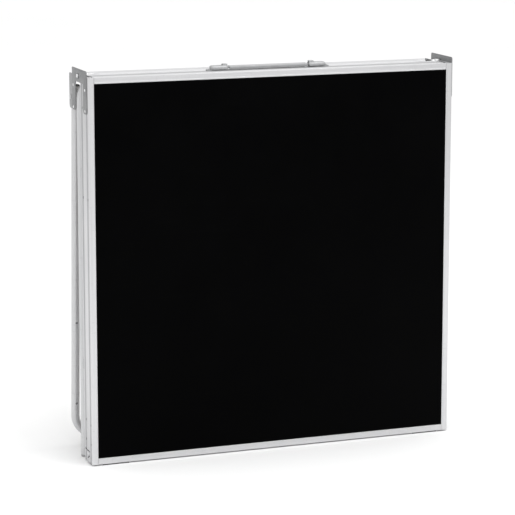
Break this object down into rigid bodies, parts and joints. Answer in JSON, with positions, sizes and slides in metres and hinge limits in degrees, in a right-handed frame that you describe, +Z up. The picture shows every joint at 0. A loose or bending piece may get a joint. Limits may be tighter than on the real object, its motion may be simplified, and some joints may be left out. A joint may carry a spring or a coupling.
{
  "type": "folding stage riser platform",
  "caption": "Square black deck panel in an extruded aluminium frame, with two tube leg frames folded flat behind it and a lifting handle on the top edge.",
  "frame": {"origin": "on the floor, under the centre of the folded riser's bounding box, which stands on one edge", "axes": "+Z up, along the standing height; -Y out of the deck face; +X to the right for someone who looks at the deck face"},
  "size_m": [1.0126, 0.2186, 1.0191],
  "materials": {
    "aluminium": "anodised extruded aluminium, satin, fine lengthwise grain",
    "tube_aluminium": "drawn aluminium tube, satin to bright",
    "bracket_aluminium": "stamped aluminium plate, matt mill finish",
    "steel": "zinc plated steel, satin",
    "handle_steel": "dull nickel plated pressing",
    "laminate": "phenolic faced plywood, fine matt black film",
    "rubber": "matt black moulded rubber",
    "grip": "grey moulded grip, fine grain"
  },
  "bodies": {
    "deck": {"bottom_end_rail": "aluminium", "bottom_left_corner_key": "aluminium", "bottom_right_corner_key": "aluminium", "cross_member_high": "aluminium", "cross_member_low": "aluminium", "cross_member_mid": "aluminium", "deck_panel": "laminate", "inner_left_pivot_bolt": "steel", "inner_right_pivot_bolt": "steel", "left_bottom_bracket": "bracket_aluminium", "left_handle_cap": "handle_steel", "left_handle_screw": "steel", "left_hinge_plate": "bracket_aluminium", "left_pin_housing": "steel", "left_rim_clamp_high": "aluminium", "left_rim_clamp_low": "aluminium", "left_rim_plug": "rubber", "left_rivet_front_lower": "steel", "left_rivet_front_upper": "steel", "left_rivet_rear_lower": "steel", "left_rivet_rear_upper": "steel", "left_side_rail": "aluminium", "left_standing_pad": "rubber", "left_top_bracket": "bracket_aluminium", "outer_left_pivot_bolt": "steel", "outer_right_pivot_bolt": "steel", "right_bottom_bracket": "bracket_aluminium", "right_handle_cap": "handle_steel", "right_handle_screw": "steel", "right_hinge_plate": "bracket_aluminium", "right_pin_housing": "steel", "right_rim_clamp_high": "aluminium", "right_rim_clamp_low": "aluminium", "right_rim_plug": "rubber", "right_rivet_front_lower": "steel", "right_rivet_front_upper": "steel", "right_rivet_rear_lower": "steel", "right_rivet_rear_upper": "steel", "right_side_rail": "aluminium", "right_standing_pad": "rubber", "right_top_bracket": "bracket_aluminium", "rim_tube": "tube_aluminium", "top_end_rail": "aluminium", "top_left_corner_key": "aluminium", "top_right_corner_key": "aluminium"},
    "outer_legs": {"outer_left_plug": "rubber", "outer_leg_frame": "tube_aluminium", "outer_right_plug": "rubber"},
    "inner_legs": {"inner_cross_brace": "tube_aluminium", "inner_foot_bar": "tube_aluminium", "inner_left_leg": "tube_aluminium", "inner_left_plug": "rubber", "inner_right_leg": "tube_aluminium", "inner_right_plug": "rubber"},
    "left_pin": {"left_link_pin": "steel"},
    "right_pin": {"right_link_pin": "steel"},
    "handle": {"handle_grip": "grip"}
  },
  "joints": [
    {"name": "outer_leg_fold", "type": "hinge", "parent": "deck", "child": "outer_legs", "pos_m": [0, 0.05071, 0.938], "axis": [1, 0, 0], "range_deg": [0, 87]},
    {"name": "inner_leg_fold", "type": "hinge", "parent": "deck", "child": "inner_legs", "pos_m": [0, 0.04671, 0.08], "axis": [-1, 0, 0], "range_deg": [0, 90]},
    {"name": "left_pin_travel", "type": "slide", "parent": "deck", "child": "left_pin", "axis": [1, 0, 0], "range_m": [0, 0.005], "stiffness_N_per_m": 400, "springref_m": -0.004},
    {"name": "right_pin_travel", "type": "slide", "parent": "deck", "child": "right_pin", "axis": [-1, 0, 0], "range_m": [0, 0.005], "stiffness_N_per_m": 400, "springref_m": -0.004},
    {"name": "handle_lift", "type": "slide", "parent": "deck", "child": "handle", "axis": [0, 0, 1], "range_m": [0, 0.0055]}
  ]
}
